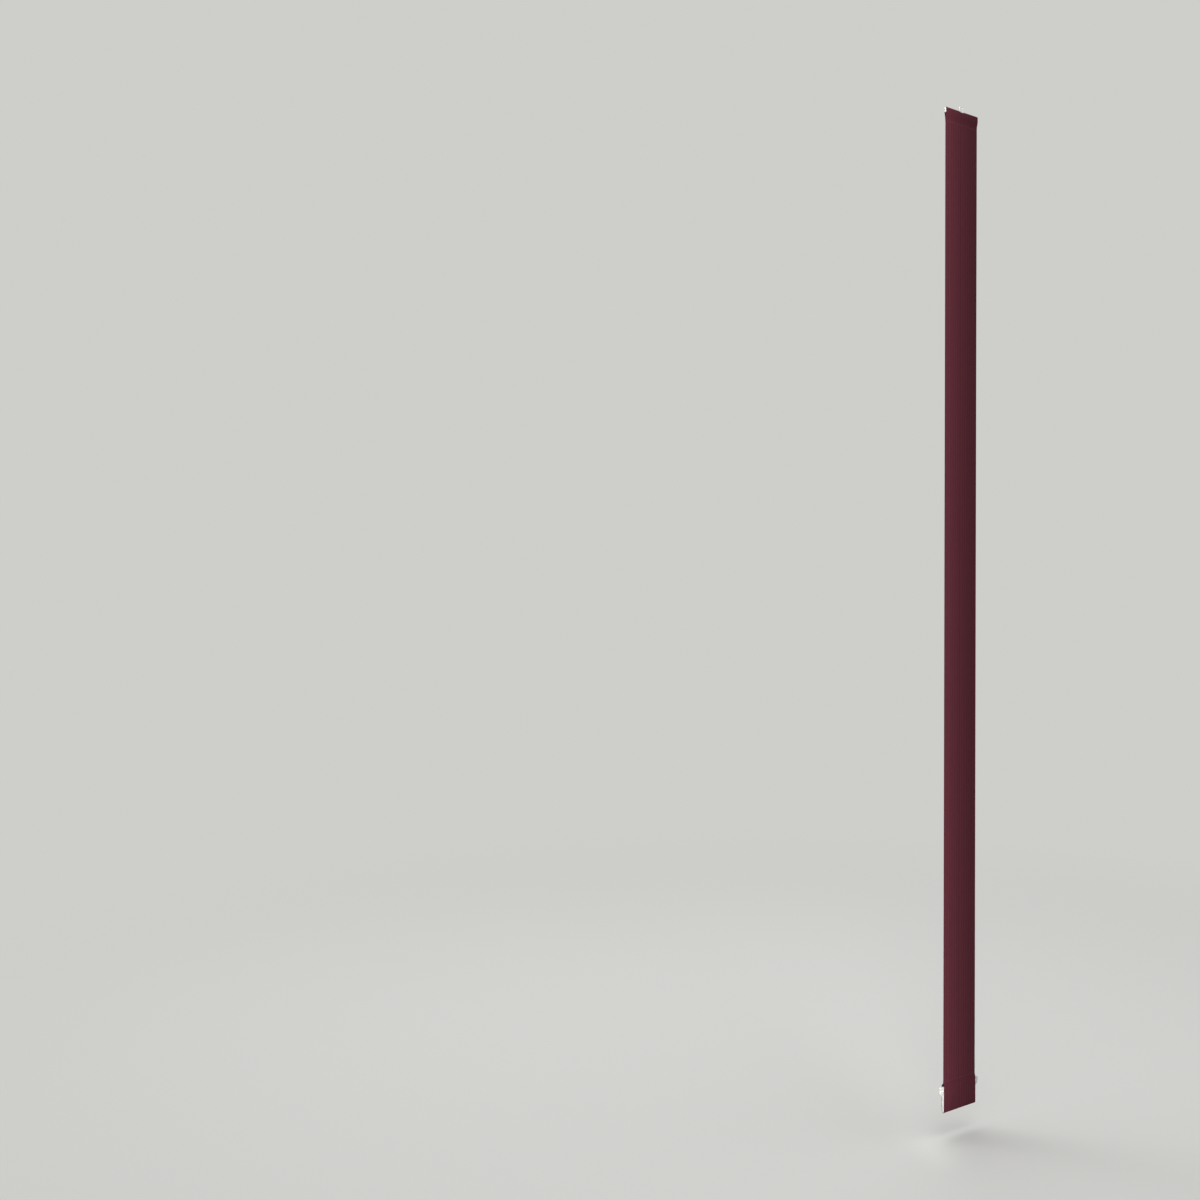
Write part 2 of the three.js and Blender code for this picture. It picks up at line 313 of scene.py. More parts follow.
@dataclass(frozen=True)
class MouldedPlastic:
    """White plastic, injection moulded in a spark-eroded tool.

    The tool leaves a satin skin with soft highlights, and the flow of the melt leaves slow
    changes of gloss and of tone.
    """

    name: str
    tone: str
    flow_tone: str
    ior: float
    roughness: float
    roughness_spread: float = 0.1
    flow: float = 9.0 * MM
    spark: float = 0.35 * MM
    relief: float = 0.006 * MM

    def build(self) -> bpy.types.Material:
        """Returns the plastic's material."""
        material, tree = new_material(self.name)
        place = add_node(tree, "ShaderNodeTexCoord").outputs["Object"]
        flow = noise(tree, place, Scale=1 / self.flow, Detail=2.0, Distortion=0.8)
        pits = noise(tree, place, Scale=1 / self.spark, Detail=1.0)
        colour = mix(tree, flow, self.tone, self.flow_tone)
        swing = self.roughness_spread / 2
        rough = ranged(tree, flow, self.roughness - swing, self.roughness + swing)
        normal = add_node(
            tree, "ShaderNodeBump", {"Strength": 0.4, "Distance": self.relief}, {"Height": pits},
        ).outputs[0]
        finish_with(tree, add_node(
            tree, "ShaderNodeBsdfPrincipled", {"IOR": self.ior},
            {"Base Color": colour, "Roughness": rough, "Normal": normal},
        ))
        return material


POLYPROPYLENE = MouldedPlastic("moulded_polypropylene", "#F0EEE9", "#EAE8E2", 1.49, 0.42)
POLYSTYRENE = MouldedPlastic("moulded_polystyrene", "#E0DEDA", "#DAD8D3", 1.59, 0.36)


@dataclass(frozen=True)
class ZincPlatedSheet:
    """Steel sheet, cold rolled and zinc plated.

    Rolling leaves fine lines along the sheet, which drag out its grey reflections.
    """

    tone: str = "#B4B8BB"
    dull: str = "#989DA1"
    line: float = 0.5 * MM
    line_length: float = 30.0 * MM
    roughness: float = 0.36
    roughness_spread: float = 0.16

    def build(self) -> bpy.types.Material:
        """Returns the plate's material."""
        material, tree = new_material("zinc_plated_sheet")
        place = add_node(tree, "ShaderNodeTexCoord").outputs["Object"]
        stretched = add_node(
            tree, "ShaderNodeMapping",
            {"Scale": (1 / self.line_length, 1 / self.line, 1 / self.line)}, {"Vector": place},
        ).outputs[0]
        lines = noise(tree, stretched, Scale=1.0, Detail=3.0)
        colour = mix(tree, lines, self.dull, self.tone)
        swing = self.roughness_spread / 2
        rough = ranged(tree, lines, self.roughness + swing, self.roughness - swing)
        finish_with(tree, add_node(
            tree, "ShaderNodeBsdfPrincipled", {"Metallic": 1.0},
            {"Base Color": colour, "Roughness": rough},
        ))
        return material


# Solids


def mesh_object(
    name: str, points: Sequence[Sequence[float]], faces: Sequence[Sequence[int]],
) -> bpy.types.Object:
    """Makes a smooth-shaded mesh object with sharp edges where faces meet steeply.

    Args:
        name: the object's name.
        points: its corners.
        faces: the corners of each face, counter-clockwise from outside.

    Returns:
        The object, linked to the scene.
    """
    mesh = bpy.data.meshes.new(name)
    mesh.from_pydata(points, [], faces)
    shade(mesh)
    piece = bpy.data.objects.new(name, mesh)
    bpy.context.scene.collection.objects.link(piece)
    return piece


def shade(mesh: bpy.types.Mesh) -> None:
    """Shades a mesh smooth, apart from its steep edges."""
    mesh.polygons.foreach_set("use_smooth", [True] * len(mesh.polygons))
    mesh.set_sharp_from_angle(angle=SMOOTH_ANGLE)
    mesh.update()


def loft(name: str, loops: Sequence[Loop], closed: bool = False) -> bpy.types.Object:
    """Skins loops of as many points each.

    Args:
        name: the object's name.
        loops: the loops in order, all turning the same way.
        closed: whether the last loop joins the first, or else both ends are capped.

    Returns:
        The solid, with its faces outwards.
    """
    around = len(loops[0])
    spans = len(loops) if closed else len(loops) - 1
    faces: list[Sequence[int]] = []
    for span in range(spans):
        this, following = span * around, (span + 1) % len(loops) * around
        for at in range(around):
            beside = (at + 1) % around
            faces.append((this + at, this + beside, following + beside, following + at))
    if not closed:
        faces.append(list(reversed(range(around))))
        faces.append([spans * around + at for at in range(around)])
    piece = mesh_object(name, [point for loop in loops for point in loop], faces)
    turn_out(piece.data)
    return piece


def turn_out(mesh: bpy.types.Mesh) -> None:
    """Turns a closed mesh's faces outwards if its volume comes out negative."""
    mesh.calc_loop_triangles()
    places = [vertex.co for vertex in mesh.vertices]
    volume = sum(
        places[a].dot(places[b].cross(places[c])) for a, b, c in
        (triangle.vertices for triangle in mesh.loop_triangles)
    )
    if volume < 0:
        mesh.flip_normals()


def arc(middle: Point, radius: float, start: float, end: float, steps: int) -> Outline:
    """Returns the points of an arc.

    Args:
        middle: its centre.
        radius: its radius.
        start: the first point's angle in degrees.
        end: the last point's angle in degrees.
        steps: how many straight steps it has.

    Returns:
        The points, both ends included.
    """
    angles = np.radians(np.linspace(start, end, steps + 1))
    return [(middle[0] + radius * math.cos(a), middle[1] + radius * math.sin(a)) for a in angles]


def rounded_box(low: Point, high: Point, radius: float, steps: int = 5) -> Outline:
    """Returns a rectangle with round corners.

    Args:
        low: its lowest corner.
        high: its highest corner.
        radius: the corners' radius.
        steps: the straight steps in each corner.

    Returns:
        The outline, counter-clockwise.
    """
    return (
        arc((high[0] - radius, low[1] + radius), radius, -90, 0, steps)
        + arc((high[0] - radius, high[1] - radius), radius, 0, 90, steps)
        + arc((low[0] + radius, high[1] - radius), radius, 90, 180, steps)
        + arc((low[0] + radius, low[1] + radius), radius, 180, 270, steps)
    )


def inset(outline: Outline, by: float) -> Outline:
    """Moves each side of a counter-clockwise outline inwards by the same distance.

    Args:
        outline: the points.
        by: the distance, or less than 0 to move outwards.

    Returns:
        The moved points.
    """
    places = np.array(outline)
    ahead = np.roll(places, -1, axis=0) - places
    ahead /= np.linalg.norm(ahead, axis=1)[:, None]
    normals = np.stack([-ahead[:, 1], ahead[:, 0]], 1)
    both = normals + np.roll(normals, 1, axis=0)
    mitre = both / np.maximum((both * both).sum(1) / 2, 0.5)[:, None]
    return [tuple(point) for point in places + mitre * by]


def placed(outline: Outline, drawn: Drawn, depth: float) -> Loop:
    """Puts a flat outline into the row frame.

    Args:
        outline: the points.
        drawn: the plane that it is drawn in.
        depth: its place on the plane's third axis.

    Returns:
        The loop.
    """
    first, second, third = drawn.value
    loop = []
    for point in outline:
        place = Vector()
        place[first], place[second], place[third] = point[0], point[1], depth
        loop.append(place)
    return loop


def rounding(low: float, high: float, edge: float) -> list[tuple[float, float]]:
    """Returns the depths and insets of the loops of a prism with round edges.

    Args:
        low: the depth of one end.
        high: the depth of the other.
        edge: the radius of its edges.

    Returns:
        Pairs of depth and inset, from low to high.
    """
    turns = [math.pi / 2 * step / EDGE_STEPS for step in range(EDGE_STEPS + 1)]
    start = [(low + edge * (1 - math.sin(a)), edge * (1 - math.cos(a))) for a in reversed(turns)]
    return start + [(low + high - depth, pull) for depth, pull in reversed(start)]


def prism(
    name: str, outline: Outline, drawn: Drawn, low: float, high: float, edge: float,
) -> bpy.types.Object:
    """Makes a prism with rounded edges.

    Args:
        name: the object's name.
        outline: its outline, counter-clockwise.
        drawn: the plane that the outline is drawn in.
        low: where it starts on the plane's third axis.
        high: where it ends.
        edge: the radius of its edges, or less than 0 for edges that flare.

    Returns:
        The solid.
    """
    if edge == 0:
        depths = [(low, 0.0), (high, 0.0)]
    else:
        depths = rounding(low, high, abs(edge))
    sign = -1 if edge < 0 else 1
    loops = [placed(inset(outline, sign * pull), drawn, depth) for depth, pull in depths]
    return loft(name, loops)


def combine(
    base: bpy.types.Object, others: Sequence[bpy.types.Object], cut: Cut,
) -> bpy.types.Object:
    """Joins solids to a first one, or takes them out of it, and deletes them.

    Args:
        base: the solid that stays.
        others: the solids that are used up.
        cut: whether they are joined or taken out.

    Returns:
        The first solid, with its new mesh.
    """
    for other in others:
        step = base.modifiers.new(cut.value, "BOOLEAN")
        step.operation = cut.value
        step.solver = "EXACT"
        step.object = other
    mesh = bpy.data.meshes.new_from_object(base.evaluated_get(bpy.context.evaluated_depsgraph_get()))
    base.modifiers.clear()
    old, base.data = base.data, mesh
    mesh.name = base.name
    bpy.data.meshes.remove(old)
    for other in others:
        bpy.data.meshes.remove(other.data)
    shade(mesh)
    return base


def even_shading(piece: bpy.types.Object) -> None:
    """Keeps large flat faces flat beside the small faces of rounded edges."""
    piece.modifiers.new("even_shading", "WEIGHTED_NORMAL").keep_sharp = True


def hand_over(piece: bpy.types.Object, node: str, material: bpy.types.Material) -> None:
    """Dresses a finished piece and gives it its place in the frame.

    Args:
        piece: the piece.
        node: the CAD node that it stands for.
        material: its material.
    """
    piece.data.materials.clear()
    piece.data.materials.append(material)
    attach(piece, BODY)
    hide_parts(node)


# Sub-assemblies


@dataclass(frozen=True)
class Pocket:
    """A hem around the piece that lies in it, seen from the vane's edge.

    middle is the piece's place in depth, gap the distance from there to the middle of the cloth,
    fold the height of the fold's centre, beside the height where the piece ends and weld the
    height where the two plies meet.
    """

    middle: float
    gap: float
    fold: float
    beside: float
    weld: float


@dataclass(frozen=True)
class Row:
    """One line of points across the strip, at the middle of the cloth's thickness.

    y, z and facing have a value for each column. facing turns the outer face's normal from +Y
    towards +Z. pressed is how far the weld has pushed the outer face in, from 0 to 1. A row that
    is punched has no cloth at the notch.
    """

    y: np.ndarray
    z: np.ndarray
    facing: np.ndarray
    pressed: float = 0.0
    punched: bool = False


@dataclass
class VaneCloth:
    """The strip: a front sheet with a hem at each end, folded to the back and welded across."""

    name: str = "vane_cloth"
    thickness: float = 0.45 * MM
    clearance: float = 0.3 * MM
    rib_count: int = 59
    rib_depth: float = 0.07 * MM
    weld_width: float = 3.0 * MM
    weld_line: float = 1.8 * MM
    weld_depth: float = 0.13 * MM
    weld_pitch: float = 3.0 * MM
    knurl_mean: float = 0.55  # of the weld's depth, along its line
    knurl_swing: float = 0.45
    top_taper: float = 13.75 * MM
    bottom_taper: float = 7.25 * MM
    top_fullness: float = 0.85
    bottom_fullness: float = 1.35
    notch_clearance: float = 0.9 * MM
    notch_depth: float = 2.05 * MM
    notch_corner: float = 0.8 * MM
    edge_swell: float = 0.07 * MM
    taper_rows: int = 9
    fold_rows: int = 12
    sheet_rows: int = 24

    def __post_init__(self) -> None:
        """Takes the strip's width and the places of its pockets from the frame."""
        low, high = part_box("vane_fabric")
        bar_low, bar_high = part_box("top_hanger")
        case_low, case_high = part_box("weight_case")
        self.half_width = high.x
        wall = self.clearance + self.thickness / 2
        top_gap = bar_high.y + wall
        self.top = Pocket(0.0, top_gap, high.z - self.thickness / 2 - top_gap, bar_low.z,
                          bar_low.z - self.top_taper)
        case_middle = (case_low.y + case_high.y) / 2
        case_gap = (case_high.y - case_low.y) / 2 + wall
        self.bottom = Pocket(case_middle, case_gap, low.z + self.thickness / 2 + case_gap,
                             case_high.z, case_high.z + self.bottom_taper)
        self.notch_half_width = bar_high.z + self.notch_clearance
        self.rib_pitch = 2 * self.half_width / self.rib_count
        self.across = self._columns()

    def build(self, finish: StiffenedPolyesterWeave) -> bpy.types.Object:
        """Makes the strip and dresses it.

        Args:
            finish: the cloth's finish.

        Returns:
            The piece.
        """
        piece = self._skin(self._rows())
        hand_over(piece, "vane_fabric", finish.build())
        return piece

    def flat_length(self) -> float:
        """Returns the length that the strip was cut to, along the middle of its thickness."""
        path = np.array([(row.y[0], row.z[0]) for row in self._rows()])
        return float(np.linalg.norm(np.diff(path, axis=0), axis=1).sum())

    def _columns(self) -> np.ndarray:
        """Returns the places of the columns: four to a rib, and one at each side of the notch."""
        shares = np.array([0.0, 0.2, 0.5, 0.8])
        ribs = (np.arange(self.rib_count)[:, None] + shares).ravel() * self.rib_pitch
        across = np.append(ribs - self.half_width, self.half_width)
        for side in (-self.notch_half_width, self.notch_half_width):
            across[np.abs(across - side).argmin()] = side
        return across

    def _relief(self) -> np.ndarray:
        """Returns how far each column lies below the crowns of the ribs."""
        crown = np.abs(np.sin(math.pi * (self.across + self.half_width) / self.rib_pitch))
        return self.rib_depth * (1 - np.sqrt(crown))

    def _rows(self) -> list[Row]:
        """Runs down the strip from the free end of the top hem to that of the bottom hem."""
        top, bottom = self.top, self.bottom
        top_end, bottom_end = top.weld - self.weld_width, bottom.weld + self.weld_width
        behind = self.thickness  # the hem's middle lies one thickness behind the sheet's
        rows = self._weld(behind, top_end, top.weld, 0.0)
        rows += self._taper(top, behind, 1, 0.0, self.top_fullness)[::-1]
        rows += self._top_fold()
        rows += self._taper(top, 0.0, -1, math.pi, self.top_fullness)
        rows += self._weld(0.0, top.weld, top_end, math.pi)
        for height in np.linspace(top_end, bottom_end, self.sheet_rows)[1:-1]:
            rows.append(self._row(0.0, height, math.pi))
        rows += self._weld(0.0, bottom_end, bottom.weld, math.pi)
        rows += self._taper(bottom, 0.0, -1, math.pi, self.bottom_fullness)[::-1]
        for turn in np.linspace(math.pi, TURN, self.fold_rows + 1):
            rows.append(self._row(
                bottom.middle + bottom.gap * math.cos(turn),
                bottom.fold + bottom.gap * math.sin(turn), turn,
            ))
        rows += self._taper(bottom, behind, 1, TURN, self.bottom_fullness)
        rows += self._weld(behind, bottom.weld, bottom_end, TURN)
        return rows

    def _row(self, y: float, z: float, facing: float, pressed: float = 0.0) -> Row:
        """Returns a row that is the same in every column."""
        even = np.ones(len(self.across))
        return Row(y * even, z * even, facing * even, pressed)

    def _weld(self, y: float, start: float, end: float, facing: float) -> list[Row]:
        """Makes the rows of a welded band, with the pressed line along its middle.

        Args:
            y: the depth of the cloth's middle.
            start: the height of the first row.
            end: the height of the last row.
            facing: the outer face's direction.

        Returns:
            The rows.
        """
        margin = (self.weld_width - self.weld_line) / 2 / self.weld_width
        ramp = margin / 2
        shares = (
            (0.0, 0.0), (margin - ramp, 0.0), (margin + ramp / 2, 1.0), (0.5, 1.0),
            (1 - margin - ramp / 2, 1.0), (1 - margin + ramp, 0.0), (1.0, 0.0),
        )
        return [
            self._row(y, start + (end - start) * share, facing, pressed)
            for share, pressed in shares
        ]

    def _taper(
        self, pocket: Pocket, y: float, side: int, facing: float, fullness: float,
    ) -> list[Row]:
        """Makes the rows from beside a pocket's piece to the weld, without the weld's own row.

        Args:
            pocket: the pocket.
            y: the depth of the cloth's middle at the weld.
            side: 1 at the back of the pocket and -1 at its front.
            facing: the outer face's direction where the cloth hangs upright.
            fullness: 1 for an even taper, and more for one that stays beside its piece longer.

        Returns:
            The rows, from the piece to the weld.
        """
        start = pocket.middle + side * pocket.gap
        drop = pocket.weld - pocket.beside
        rows = []
        for share in np.linspace(0, 1, self.taper_rows + 1)[:-1]:
            bent = share ** fullness
            slope = 6 * bent * (1 - bent) * fullness * bent / share if share else 0.0
            lean = math.atan((y - start) / drop * slope)
            rows.append(self._row(
                start + (y - start) * eased(bent), pocket.beside + drop * share, facing - lean,
            ))
        return rows

    def _top_fold(self) -> list[Row]:
        """Makes the rows over the top fold, which end at the notch where the cloth is punched.

        Returns:
            The rows, from the back of the fold to its front.
        """
        pocket = self.top
        outer = pocket.gap + self.thickness / 2
        reach = pocket.gap * math.acos(1 - self.notch_depth / outer)
        straight = self.notch_half_width - self.notch_corner
        side = np.clip(np.abs(self.across) - straight, 0, None)
        rounded = np.sqrt(np.clip(self.notch_corner ** 2 - side ** 2, 0, None))
        notch_end = (reach - self.notch_corner + rounded) / pocket.gap
        beyond = (reach - self.notch_corner) / pocket.gap
        turns = []
        for share in SOFT_STEP:
            turns.append((math.pi / 2 * (1 - share) + notch_end * share, False))
        steps = self.fold_rows // 2 - 1
        for step in range(steps, 0, -1):
            turns.append((np.full(len(self.across), beyond * (step - 1) / steps), True))
        turns += [(-turn, punched) for turn, punched in turns[-2::-1]]
        rows = []
        for from_top, punched in turns:
            facing = math.pi / 2 - from_top
            rows.append(Row(
                pocket.middle + pocket.gap * np.cos(facing), pocket.fold + pocket.gap * np.sin(facing),
                facing, 0.0, punched,
            ))
        return rows

    def _skin(self, rows: list[Row]) -> bpy.types.Object:
        """Gives the rows their thickness, their ribs and their cut edges.

        Args:
            rows: the rows in order.

        Returns:
            The strip, with what its material reads in the attributes welded and cut.
        """
        level = np.zeros(len(self.across))
        knurl = self.knurl_mean - self.knurl_swing * np.cos(TURN * self.across / self.weld_pitch)
        middle = np.concatenate([np.stack([self.across, row.y, row.z], 1) for row in rows])
        normal = np.concatenate([
            np.stack([level, np.cos(row.facing), np.sin(row.facing)], 1) for row in rows
        ])
        pressed = np.concatenate([row.pressed * knurl for row in rows])
        half = np.tile(self.thickness / 2 - self._relief(), len(rows))
        outer = middle + normal * (half - self.weld_depth * pressed)[:, None]
        inner = middle - normal * half[:, None]

        quads = self._quads(rows)
        rim = self._rim(quads)
        ridge_at, ridges = self._ridges(middle, normal, rim)
        count = len(middle)
        faces = [tuple(quad) for quad in quads]
        faces += [tuple(count + corner for corner in reversed(quad)) for quad in quads]
        for start, end in rim:
            low, high = 2 * count + ridge_at[start], 2 * count + ridge_at[end]
            faces.append((end, start, low, high))
            faces.append((high, low, count + start, count + end))
        points = np.concatenate([outer, inner, ridges])
        welded = np.concatenate([pressed, np.zeros(count + len(ridges))])
        cut = np.concatenate([np.zeros(2 * count), np.ones(len(ridges))])

        used = np.unique(np.array([corner for face in faces for corner in face]))
        renumbered = np.zeros(len(points), int)
        renumbered[used] = np.arange(len(used))
        piece = mesh_object(
            self.name, points[used].tolist(), [renumbered[list(face)].tolist() for face in faces],
        )
        for name, values in (("welded", welded), ("cut", cut)):
            attribute = piece.data.attributes.new(name, "FLOAT", "POINT")
            attribute.data.foreach_set("value", values[used].astype(np.float32))
        return piece

    def _quads(self, rows: list[Row]) -> list[list[int]]:
        """Returns the outer face's quads, without those that the notch has taken.

        Args:
            rows: the rows in order.

        Returns:
            Four corners each, counter-clockwise from outside.
        """
        columns = len(self.across)
        inside = np.abs(self.across) < self.notch_half_width + HAIR
        quads = []
        for at, (row, following) in enumerate(zip(rows, rows[1:])):
            for column in range(columns - 1):
                if (row.punched or following.punched) and inside[column] and inside[column + 1]:
                    continue
                first = at * columns + column
                quads.append([first, first + columns, first + columns + 1, first + 1])
        return quads

    def _rim(self, quads: list[list[int]]) -> list[tuple[int, int]]:
        """Returns the sides that only one quad has, in that quad's direction."""
        sides = {
            (quad[at], quad[(at + 1) % 4]) for quad in quads for at in range(4)
        }
        return sorted(side for side in sides if (side[1], side[0]) not in sides)

    def _ridges(
        self, middle: np.ndarray, normal: np.ndarray, rim: list[tuple[int, int]],
    ) -> tuple[dict[int, int], np.ndarray]:
        """Makes the line along a cut edge that the heat has swelled outwards.

        Args:
            middle: the points at the middle of the thickness.
            normal: the outer face's normal at each.
            rim: the sides of the cut edges.

        Returns:
            The number of each rim point's own ridge point, and the ridge points.
        """
        outward: dict[int, np.ndarray] = {}
        for start, end in rim:
            along = middle[end] - middle[start]
            away = np.cross(along, normal[start])
            away /= np.linalg.norm(away)
            for corner in (start, end):
                outward[corner] = outward.get(corner, np.zeros(3)) + away
        number = {corner: at for at, corner in enumerate(outward)}
        points = [
            middle[corner] + away / np.linalg.norm(away) * self.edge_swell
            for corner, away in outward.items()
        ]
        return number, np.array(points)


@dataclass
class TopHanger:
    """The moulded bar in the top pocket, with the eye that the vane hangs by."""

    name: str = "hanger_moulding"
    bar_height: float = 9.5 * MM
    bar_edge: float = 0.5 * MM
    web: float = 1.4 * MM
    flange: float = 2.2 * MM
    rib: float = 1.2 * MM
    end_block: float = 4.0 * MM
    neck_block: float = 2.5 * MM
    bays_per_side: int = 4
    bay_fillet: float = 0.3 * MM
    eye_band: float = 2.15 * MM
    eye_thickness: float = 2.2 * MM
    eye_edge: float = 0.5 * MM
    neck_inset: float = 1.8 * MM
    neck_fillet: float = 0.7 * MM
    # Height over the bar and widening of the neck, as shares of its fillet
    neck_flare: tuple[Point, ...] = ((-0.3, 1.0), (0.0, 0.55), (0.4, 0.2), (1.0, 0.0))
    round_steps: int = 8
    eye_steps: int = 72

    def __post_init__(self) -> None:
        """Takes the bar's place and the eye's radius from the frame."""
        low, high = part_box("top_hanger")
        self.half_length = high.x
        self.half_thickness = high.y
        self.bar_bottom = low.z
        self.eye_radius = high.z
        self.neck_half_width = self.eye_radius - self.neck_inset

    def build(self, finish: MouldedPlastic) -> bpy.types.Object:
        """Makes the hanger and dresses it.

        Args:
            finish: the plastic's finish.

        Returns:
            The piece.
        """
        piece = combine(self._bar(), [self._eye(), self._neck()], Cut.JOIN)
        even_shading(piece)
        hand_over(piece, "top_hanger", finish.build())
        return piece

    def _bays(self) -> list[tuple[float, float]]:
        """Returns the start and end of each bay along the bar."""
        start = self.neck_half_width + self.neck_block
        pitch = (self.half_length - self.end_block - start + self.rib) / self.bays_per_side
        right = [
            (start + bay * pitch, start + (bay + 1) * pitch - self.rib)
            for bay in range(self.bays_per_side)
        ]
        return [(-end, -begin) for begin, end in reversed(right)] + right

    def _section(self, recess: float) -> Outline:
        """Returns the bar's section.

        Args:
            recess: from 0, a full bar, to 1, a web between two flanges.

        Returns:
            The outline in Y and Z, counter-clockwise.
        """
        radius = self.half_thickness
        low, high = self.bar_bottom + radius, self.bar_bottom + self.bar_height - radius
        bay_low = self.bar_bottom + self.flange
        bay_high = self.bar_bottom + self.bar_height - self.flange
        sunk = recess * (radius - self.web / 2)
        ramp = [(radius - sunk * eased(share), share * self.bay_fillet) for share in SOFT_STEP]
        side = [(radius, (low + bay_low) / 2)]
        side += [(y, bay_low + rise) for y, rise in ramp]
        side.append((radius - sunk, (bay_low + bay_high) / 2))
        side += [(y, bay_high - rise) for y, rise in reversed(ramp)]
        side.append((radius, (high + bay_high) / 2))
        under = arc((0, low), radius, 180, 360, 2 * self.round_steps)
        over = arc((0, high), radius, 0, 180, 2 * self.round_steps)
        return under + side + over + [(-y, z) for y, z in reversed(side)]

    def _bar(self) -> bpy.types.Object:
        """Returns the bar with its bays and rounded ends."""
        ends = rounding(-self.half_length, self.half_length, self.bar_edge)
        stations = [(x, pull, 0.0) for x, pull in ends]
        for begin, end in self._bays():
            for share in SOFT_STEP:
                stations.append((begin + share * self.bay_fillet, 0.0, eased(share)))
                stations.append((end - share * self.bay_fillet, 0.0, eased(share)))
        loops = [
            placed(inset(self._section(recess), pull), Drawn.SECTION, x)
            for x, pull, recess in sorted(stations)
        ]
        return loft(self.name, loops)

    def _eye(self) -> bpy.types.Object:
        """Returns the ring of the eye."""
        half_band, half_depth = self.eye_band / 2, self.eye_thickness / 2
        section = rounded_box((-half_band, -half_depth), (half_band, half_depth), self.eye_edge)
        middle = self.eye_radius - half_band
        loops = []
        for step in range(self.eye_steps):
            turn = TURN * step / self.eye_steps
            loops.append([
                Vector(((middle + out) * math.cos(turn), depth, (middle + out) * math.sin(turn)))
                for out, depth in section
            ])
        return loft("eye_ring", loops, closed=True)

    def _neck(self) -> bpy.types.Object:
        """Returns the neck, which widens where it meets the bar."""
        bar_top = self.bar_bottom + self.bar_height
        foot = bar_top - self.half_thickness
        head = -math.sqrt(self.eye_radius ** 2 - self.neck_half_width ** 2)
        flare = [(bar_top + rise * self.neck_fillet, share) for rise, share in self.neck_flare]
        half_depth = self.eye_thickness / 2 - 2 * HAIR
        loops = []
        for height, widening in [(foot, 1.0), *flare, (head, 0.0)]:
            half_width = self.neck_half_width + widening * self.neck_fillet
            loops.append(placed(
                rounded_box((-half_width, -half_depth), (half_width, half_depth), self.eye_edge),
                Drawn.LEVEL, height,
            ))
        return loft("neck", loops)


